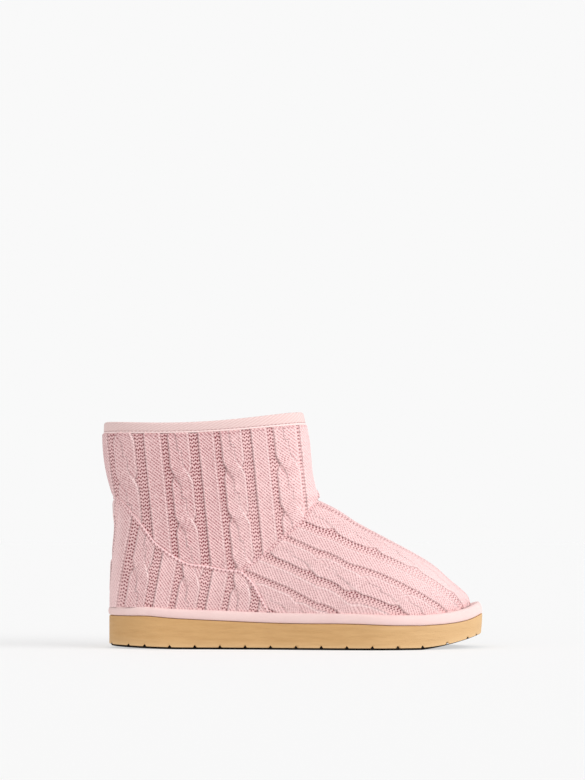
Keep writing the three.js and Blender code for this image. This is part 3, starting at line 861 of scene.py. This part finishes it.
# Seam ridges: the panels' edges stand up a little where they are sewn together
seamLook = {"radius": {"seamCounter": 1.0, "seamFoot": 1.05, "seamVamp": 0.72},
            "raise": {"seamCounter": -0.3, "seamFoot": -0.35, "seamVamp": -0.25},
            "light": "f6d2d2", "dark": "efc4c5", "stitch": 2.6,
            "dot": "7d333d", "dotEvery": 2.9, "dotTurn": 0.15, "bump": 0.0001}
seamPink, tree, shader = newMaterial("seamPink", Roughness=0.9, Sheen_Weight=0.2, Specular_IOR_Level=0.15)
seamAlong, seamRound = splitVector(tree, uvCoordinates(tree))[:2]
seamWave = wave(tree, maths(tree, "DIVIDE", plus(tree, seamAlong, seamRound), seamLook["stitch"]))
# Dots of thread along one side of the ridge
seamDot = maths(tree, "POWER", wave(tree, maths(tree, "DIVIDE", seamAlong, seamLook["dotEvery"])), 3)
seamLow = maths(tree, "POWER", wave(tree, maths(
    tree, "MULTIPLY_ADD", seamRound, 1 / math.pi, -seamLook["dotTurn"])), 5)
seamColour = mixColour(tree, seamWave, seamLook["dark"], seamLook["light"])
seamColour = mixColour(tree, times(tree, seamDot, seamLow), seamColour, seamLook["dot"])
finishSurface(tree, shader, seamColour, bump(tree, seamWave, seamLook["bump"]))
for seamName, (seamLevel, seamTurn) in seamLines.items():
    for sideName, side in (("Outer", seamTurn), ("Inner", 1 - seamTurn)):
        normal = skinNormal(seamLevel, side)
        line = skin(seamLevel, side) + normal * seamLook["raise"][seamName]
        ridgeTube = tubeAlong(seamName + sideName, line, normal, seamLook["radius"][seamName])
        dress(ridgeTube, seamPink, "knit", "upper")
print("seams done")

# Lining: a thin closed shell inside the knit, with a short pile
lining = {"outside": 2.6, "inside": boot["wall"], "belowRim": 0.6, "pile": 0.0012,
          "dark": "e5cac6", "light": "fbf0ee"}
fleece, tree, shader = newMaterial("fleece", Roughness=0.95, Sheen_Weight=0.4, Specular_IOR_Level=0.15)
pile = noise(tree, objectCoordinates(tree), 700, 4, 0.7)
fleeceColour = mixColour(tree, pile, lining["dark"], lining["light"])
finishSurface(tree, shader, fleeceColour, bump(tree, pile, lining["pile"]))


# Rings round the upper's wall, one for each level and depth under its outer face
def wallLoop(loop, count):
    turns = np.linspace(0, 1, count + 1)
    rows = []
    for level, depth in loop + loop[:1]:
        levels = np.full(turns.shape, float(level))
        rows.append(skin(levels, turns) - skinNormal(levels, turns) * depth)
    return np.array(rows)


liningLevels = list(np.linspace(0.004, 2 - lining["belowRim"] / shaftRise, 60))
liningLoop = [(level, lining["outside"]) for level in liningLevels] + [
    (level, lining["inside"]) for level in reversed(liningLevels)]
dress(gridPiece("fleeceLining", wallLoop(liningLoop, 220), closeRound=True), fleece, "knit", "upper")

# Binding: tape folded over the rim, its lower edge turned under in a narrow hem
binding = {"hem": 1.25, "hemLift": 0.25, "across": 4.1, "down": 1.8, "stitch": 2.9, "dark": "e0beba",
           "light": "ead1ce", "hemHighlight": "f6dad7", "threadAndFoldShade": "8e5a5c", "bump": 0.00012}
tapePink, tree, shader = newMaterial("tapePink", Roughness=0.85, Sheen_Weight=0.15, Specular_IOR_Level=0.25)
uv = uvCoordinates(tree)
twill = placeGroup(tree, twillGroup, Place=uv, Across=binding["across"], Down=binding["down"])
tapeMottle = placeGroup(tree, mottleGroup, Place=objectCoordinates(tree))
tape = mixColour(tree, twill.outputs["Height"], binding["dark"], binding["light"])
# The hem is painted lighter: painted highlight on the fold
tape = mixColour(tree, attribute(tree, "hem"), tape, binding["hemHighlight"])
dashes = wave(tree, maths(tree, "DIVIDE", splitVector(tree, uv)[0], binding["stitch"]))
# Dark dashes in the groove above the hem: stitches with painted shade of the fold
stitchesAndShade = times(tree, attribute(tree, "stitchesAndShade"), maths(tree, "MULTIPLY_ADD", dashes, 0.6, 0.4))
tapeGrain = plus(tree, twill.outputs["Height"], times(tree, tapeMottle.outputs["Fuzz"], 0.3))
tape = mixColour(tree, stitchesAndShade, tape, binding["threadAndFoldShade"])
finishSurface(tree, shader, tape, bump(tree, tapeGrain, binding["bump"]))


def belowRim(mm):
    return 2 - mm / shaftRise


inner = boot["wall"] + clearance
outerFace = boot["bindingSet"]
tapeTop = clearance + boot["bindingTape"]
middle = (outerFace + inner + boot["bindingTape"]) / 2
low = boot["bindingHeight"]
hemTop = low - binding["hem"]
# Distance below the rim, and depth under the upper's outer face
bindingLoop = [
    (low, outerFace + 0.75), (low, outerFace + 0.1), (low - 0.3, outerFace - binding["hemLift"]),
    (hemTop + 0.3, outerFace - binding["hemLift"]), (hemTop, outerFace - 0.05),
    (hemTop - 0.3, outerFace + 0.2), (hemTop - 0.75, outerFace + 0.02),
    (low - 3, outerFace - 0.02), (low - 4.5, outerFace - 0.02),
    (low - 5.8, outerFace), (0.7, outerFace + 0.02), (0.0, outerFace + 0.12), (-0.5, outerFace + 0.42),
    (-0.85, outerFace + 0.85), (-tapeTop, middle - 0.5), (-tapeTop, middle + 0.5),
    (-0.85, inner - 0.05), (-0.4, inner + 0.4), (0.3, inner + 0.7), (1.5, inner + 0.8), (low, inner + 0.8),
    (low, inner), (-clearance, inner), (-clearance, outerFace + 0.8),
]
bindingPoints = wallLoop([(belowRim(mm), depth) for mm, depth in bindingLoop], 420)
ringLength = lengthAlong(bindingPoints[8])
ringLength *= round(ringLength[-1] / binding["across"]) * binding["across"] / ringLength[-1]
closedLoop = bindingLoop + bindingLoop[:1]
heights = np.array([mm for mm, depth in closedLoop])
bindingUv = np.stack(np.broadcast_arrays(ringLength[None, :], heights[:, None]), -1)
piece = gridPiece("collarTape", bindingPoints, bindingUv)
hemRow = [hemTop - 0.01 <= mm and depth < outerFace + 0.2 for mm, depth in closedLoop]
storeRows(piece, hemRow, bindingPoints.shape[1], "hem")
storeRows(piece, [row == 5 for row in range(len(closedLoop))], bindingPoints.shape[1], "stitchesAndShade")
closeShell(piece)
dress(piece, tapePink, "tape", "collar_binding")
print("lining and binding done")


def leanShare(x):
    return np.clip((x / soleLength - 0.8) / 0.2, 0, 1) ** 2


# Turns round the sole from the heel, and how far along it they lie
def roundTurns(count):
    turns = np.linspace(0, 1, count + 1)
    return turns, (1 - np.cos(2 * np.pi * turns)) / 2


def sidesOf(x, place, turns, half, z):
    return np.stack([place, centreLine(x) + np.where(turns <= 0.5, -half, half), z], -1)


# Rings round the sole: distance out from its edge, height over the length, and lean back at the toe
def soleRows(rows, count):
    turns, share = roundTurns(count)
    rings = []
    for out, up, lean in rows:
        x = -out + (soleLength + 2 * out) * share
        place = x - lean * leanShare(x)
        rings.append(sidesOf(x, place, turns, meetAtEnds(share, soleHalf(x, out)), up(place)))
    return closeMiddle(rings)


# Adds to the first and last rings a line down their middle, where their two sides meet
def closeMiddle(rings):
    first, last = rings[0].copy(), rings[-1].copy()
    for ring in (first, last):
        ring[:, 1] = centreLine(ring[:, 0])
    return np.array([first] + list(rings) + [last])


# Outsole: foam, with a set-in walking face and wedge grooves across it
outsole = {
    "treadPitch": 17.9, "treadCount": 13, "treadDepth": 2.4, "treadWidth": 4.6, "treadStart": 27.4,
    "treadSet": 1.3, "treadInset": 1.5, "notch": 1.8, "notchWidth": 2.8, "edgeBand": 4.5,
    "light": "d9ae78", "dark": "bd905a", "edge": "e3bd8b",
    "toe": "dfbd90", "paintedTreadShade": "120d09", "paintedTreadGrit": "2c2018",
}
foam, tree, shader = newMaterial("foamCaramel", Roughness=0.62, Specular_IOR_Level=0.35)
place = objectCoordinates(tree)
scuff = noise(tree, stretchedUp(tree, place, 7.0), 55, 5, 0.6)
pores = noise(tree, place, 1600, 2)
foamColour = mixColour(tree, scuff, outsole["dark"], outsole["light"])
foamColour = mixColour(tree, times(tree, attribute(tree, "edge"), 0.6), foamColour, outsole["edge"])
# Painted light: the foam turns lighter towards the toe, where the key lamp falls
toeLightRamp = maths(tree, "MULTIPLY_ADD", splitVector(tree, place)[0], 4.5, -0.15, clamp=True)
foamColour = mixColour(tree, toeLightRamp, foamColour, outsole["toe"])
finishSurface(tree, shader, foamColour, bump(tree, pores, 0.00012, bump(tree, scuff, 0.0006)))


def between(share):
    return lambda x: soleBottom(x) + (soleTop(x) - soleBottom(x)) * share


# The walking face is set in under the side wall, less so at the toe
def treadTop(x):
    share = np.interp(x / soleLength, [0, 0.05, 0.84, 0.9, 1], [0.8, 1, 1, 0.3, 0.1])
    return soleBottom(x) + outsole["treadSet"] * share


inset, lean = outsole["treadInset"], 0.45 * boot["treadLean"]
outsoleRows = [
    (-inset, soleBottom, lean), (-inset, treadTop, lean),
    (-0.3, lambda x: treadTop(x) + 0.05, lean), (-0.08, lambda x: treadTop(x) + 0.2, 0.95 * lean),
    (0, lambda x: treadTop(x) + 0.6, 0.85 * lean), (0, between(0.2), 0.7 * lean),
    (0, between(0.35), 0.45 * lean), (0, between(0.5), 0.25 * lean), (0, between(0.65), 0.12 * lean),
    (0, between(0.8), 0.04 * lean), (0, lambda x: soleTop(x) - 0.7, 0), (-0.2, lambda x: soleTop(x) - 0.2, 0),
    (-0.7, soleTop, 0),
]
piece = gridPiece("foamOutsole", soleRows(outsoleRows, 360))
storeRows(piece, [0, 0, 0, 1, 1, 1, 0.4] + [0] * 8, 361, "edge")
closeShell(piece, crease=35)
foamOutsole = dress(piece, foam, "foam", "outsole")
# Near-black painted shade for the set-in walking face, the faces turned down and the grooves' cut faces, where
# the sole meets the floor
paintedTreadShade, tree, shader = newMaterial("paintedTreadShade", Roughness=0.85, Specular_IOR_Level=0.2)
grit = noise(tree, objectCoordinates(tree), 900, 3)
finishSurface(tree, shader, mixColour(tree, grit, outsole["paintedTreadShade"], outsole["paintedTreadGrit"]),
              bump(tree, grit, 0.0003))
foamOutsole.data.materials.append(paintedTreadShade)


# A cutter across the sole: the same section at each place from the outer side, -1, to the inner side, 1
def grooveWedge(x, section, places, bend):
    tilt = math.atan((soleBottom(np.array(x + 1.0)) - soleBottom(np.array(x - 1.0))) / 2)
    reach = soleHalf(np.array(x), 0)
    rings = []
    for side, inward in places:
        along, up = section[:, 0] + bend * (1 - abs(side)), section[:, 1]
        rings.append(np.stack([x + along * math.cos(tilt) - up * math.sin(tilt),
                               np.full(len(section), centreLine(np.array(x)) + side * reach - inward),
                               soleBottom(np.array(x)) + along * math.sin(tilt) + up * math.cos(tilt)], -1))
    ends = [np.broadcast_to(ring[:-1].mean(0), ring.shape) for ring in (rings[0], rings[-1])]
    wedge = gridPiece("grooveWedge", np.array([ends[0]] + rings + [ends[1]]))
    closeShell(wedge)
    return wedge


# Places of the grooves from the heel end, and their size beside the full one
grooves = [(outsole["treadStart"] + n * outsole["treadPitch"], 1.0) for n in range(outsole["treadCount"])]
grooves += [(at * soleLength, share) for at, share in ((0.01, 0.65), (0.058, 0.8), (0.954, 0.8), (0.98, 0.65))]
wedges = []
band = outsole["edgeBand"]
for x, share in grooves:
    half, foot = outsole["treadWidth"] * share / 2, outsole["notchWidth"] * share / 2
    sill = float(treadTop(np.array(x)) - soleBottom(np.array(x)))
    notch = np.array([[-foot, sill], [0, sill + outsole["notch"] * share], [foot, sill], [-foot, sill]])
    for side in (-1, 1):
        wedges.append(grooveWedge(x, notch, ((side, -3 * side), (side, side * band)), 0))
    if 0.03 * soleLength < x < 0.94 * soleLength:
        channel = np.array([[-half, 0], [0, 0.8 * outsole["treadDepth"]], [half, 0],
                            [2 * half, -3], [-2 * half, -3], [-half, 0]])
        wedges.append(grooveWedge(x, channel, ((-1, -band), (0, 0), (1, band)), 0.45 * outsole["treadPitch"]))
deselectAll()
for wedge in wedges:
    wedge.select_set(True)
bpy.context.view_layer.objects.active = wedges[0]
bpy.ops.object.join()
cutter = bpy.context.object
for material in (foam, paintedTreadShade):
    cutter.data.materials.append(material)
# The cut faces take the cutter's second material, the painted tread shade
cutter.data.polygons.foreach_set("material_index", np.ones(len(cutter.data.polygons), dtype=np.int32))
selectOnly(foamOutsole)
cut = foamOutsole.modifiers.new("grooves", "BOOLEAN")
cut.operation = "DIFFERENCE"
cut.solver = "EXACT"
cut.use_self = True
cut.object = cutter
bpy.ops.object.modifier_apply(modifier="grooves")
bpy.data.objects.remove(cutter)
faces = len(foamOutsole.data.polygons)
centre, facing = np.empty(faces * 3), np.empty(faces * 3)
foamOutsole.data.polygons.foreach_get("center", centre)
foamOutsole.data.polygons.foreach_get("normal", facing)
centre, facing = centre.reshape(-1, 3) * 1000 + shift, facing.reshape(-1, 3)
# The set-in walking face and the faces turned downwards take the painted shade too
below = centre[:, 2] < treadTop(centre[:, 0]) + 0.08
shadedFaces = np.empty(faces, dtype=np.int32)
foamOutsole.data.polygons.foreach_get("material_index", shadedFaces)
shadedFaces[below | (facing[:, 2] < -0.55)] = 1
foamOutsole.data.polygons.foreach_set("material_index", shadedFaces)
foamOutsole.data.update()
print("outsole done")

# Midsole: a board wrapped in smooth cloth
wrapCoat = {"dark": "e8c6c3", "light": "f3d7d3", "bump": 0.00015}
wrapCloth, tree, shader = newMaterial("wrapPink", Roughness=0.8, Sheen_Weight=0.15, Specular_IOR_Level=0.3)
wrapPlace = objectCoordinates(tree)
wrapMottle = placeGroup(tree, mottleGroup, Place=wrapPlace)
ribs = noise(tree, stretchedUp(tree, wrapPlace, 0.12), 1800, 2)
wrapColour = mixColour(tree, wrapMottle.outputs["Value"], wrapCoat["dark"], wrapCoat["light"])
wrapGrain = plus(tree, ribs, wrapMottle.outputs["Fuzz"])
finishSurface(tree, shader, wrapColour, bump(tree, wrapGrain, wrapCoat["bump"]))


def wrapUp(share):
    return lambda x: soleTop(x) + clearance + share * wrapThickness(x)


# Distance out from the sole's edge, share of the board's thickness, share of the lean at the toe
wrapRows = [(out, wrapUp(share), leanBack * boot["toeLean"]) for out, share, leanBack in (
    (-2.2, 0, 0), (-0.9, 0, 0), (-0.25, 0.04, 0.03), (0.25, 0.14, 0.12), (0.55, 0.3, 0.3), (0.7, 0.5, 0.5),
    (0.55, 0.7, 0.72), (0.2, 0.85, 0.88), (-0.35, 0.95, 0.96), (-1.1, 0.995, 1), (-2.2, 1, 1))]
piece = gridPiece("wrappedMidsole", soleRows(wrapRows, 360))
closeShell(piece, crease=40)
dress(piece, wrapCloth, "wrap_fabric", "midsole")

# Insole: a footbed under short pile
out = -(boot["sideInset"] + boot["wall"] + 2 * clearance)
reach = toeBase - 0.045 * soleLength


def insoleRing(insetBy, up, count=240):
    turns, share = roundTurns(count)
    start = boot["wall"] + 3 * clearance + insetBy + backAt(np.array(0.0))
    x = start + (reach - insetBy - start) * share
    back = backRound(x - boot["wall"], np.zeros_like(x))
    half = np.minimum((fullHalf(x) + out - insetBy) * toeRound(x, reach) * back, soleHalf(x, out - insetBy))
    return sidesOf(x, x, turns, meetAtEnds(share, half), up(x))


def insoleUp(height):
    return lambda x: midsoleTop(x) + clearance + height


insoleRings = closeMiddle([insoleRing(i, insoleUp(h)) for i, h in
                           ((0.3, 0), (0, 0.4), (0, 2.6), (0.4, 3.5), (1.2, 4.0), (3.0, 4.0))])
piece = gridPiece("footbed", insoleRings)
closeShell(piece, crease=40)
dress(piece, fleece, "footbed", "insole")
print("midsole and insole done")

# Floor, light and camera
deselectAll()
bpy.ops.mesh.primitive_plane_add(size=60, location=(0, 0, 0))
floor = bpy.context.object
floor.name = "floor"
# The lamps: strength, spread and turn in degrees, a big soft key from the toe's side and a weaker fill
light = {"sky": 0.6, "background": 0.947, "floor": 0.36, "glow": 0.562,
         "lamps": {"keyLight": (2.15, 50, (58, 0, 64)), "fillLight": (0.42, 60, (60, 0, -58))}}
floorWhite, tree, shader = newMaterial("floorWhite", Roughness=0.9, Specular_IOR_Level=0.1)
shader.inputs["Base Color"].default_value = (light["floor"],) * 3 + (1,)
shader.inputs["Emission Color"].default_value = (1, 1, 1, 1)
shader.inputs["Emission Strength"].default_value = light["glow"]
floor.data.materials.append(floorWhite)

# The background is a little brighter where the camera sees it than where it lights the boot
world = bpy.data.worlds.new("studio")
bpy.context.scene.world = world
world.use_nodes = True
nodes, links = world.node_tree.nodes, world.node_tree.links
nodes.clear()
worldOut = nodes.new("ShaderNodeOutputWorld")
mixer = nodes.new("ShaderNodeMixShader")
links.new(nodes.new("ShaderNodeLightPath").outputs["Is Camera Ray"], mixer.inputs[0])
for i, strength in ((1, light["sky"]), (2, light["background"])):
    backdrop = nodes.new("ShaderNodeBackground")
    backdrop.inputs["Color"].default_value = (1, 1, 1, 1)
    backdrop.inputs["Strength"].default_value = strength
    links.new(backdrop.outputs[0], mixer.inputs[i])
links.new(mixer.outputs[0], worldOut.inputs["Surface"])

for lampName, (energy, spread, turn) in light["lamps"].items():
    bpy.ops.object.light_add(type="SUN", location=(1, -1, 1.5))
    lamp = bpy.context.object
    lamp.name = lampName
    lamp.data.energy = energy
    lamp.data.angle = math.radians(spread)
    lamp.rotation_euler = [math.radians(a) for a in turn]

# The camera stands level, in the photo's place, and its lens is shifted up to it
view = {"distance": 1.6, "across": 132.44, "height": 0.08, "pixel": 0.0007235, "middle": 0.186}
bpy.ops.object.camera_add(location=((view["across"] - shift[0]) / 1000, -view["distance"], view["height"]),
                          rotation=(math.pi / 2, 0, 0))
camera = bpy.context.object
tall = 780 * view["pixel"]
camera.data.lens = camera.data.sensor_width * view["distance"] / tall
camera.data.shift_y = (view["middle"] - view["height"]) / tall
camera.data.clip_start = 0.01
camera.data.clip_end = 100
bpy.context.scene.camera = camera
bpy.context.scene.view_settings.view_transform = "Standard"
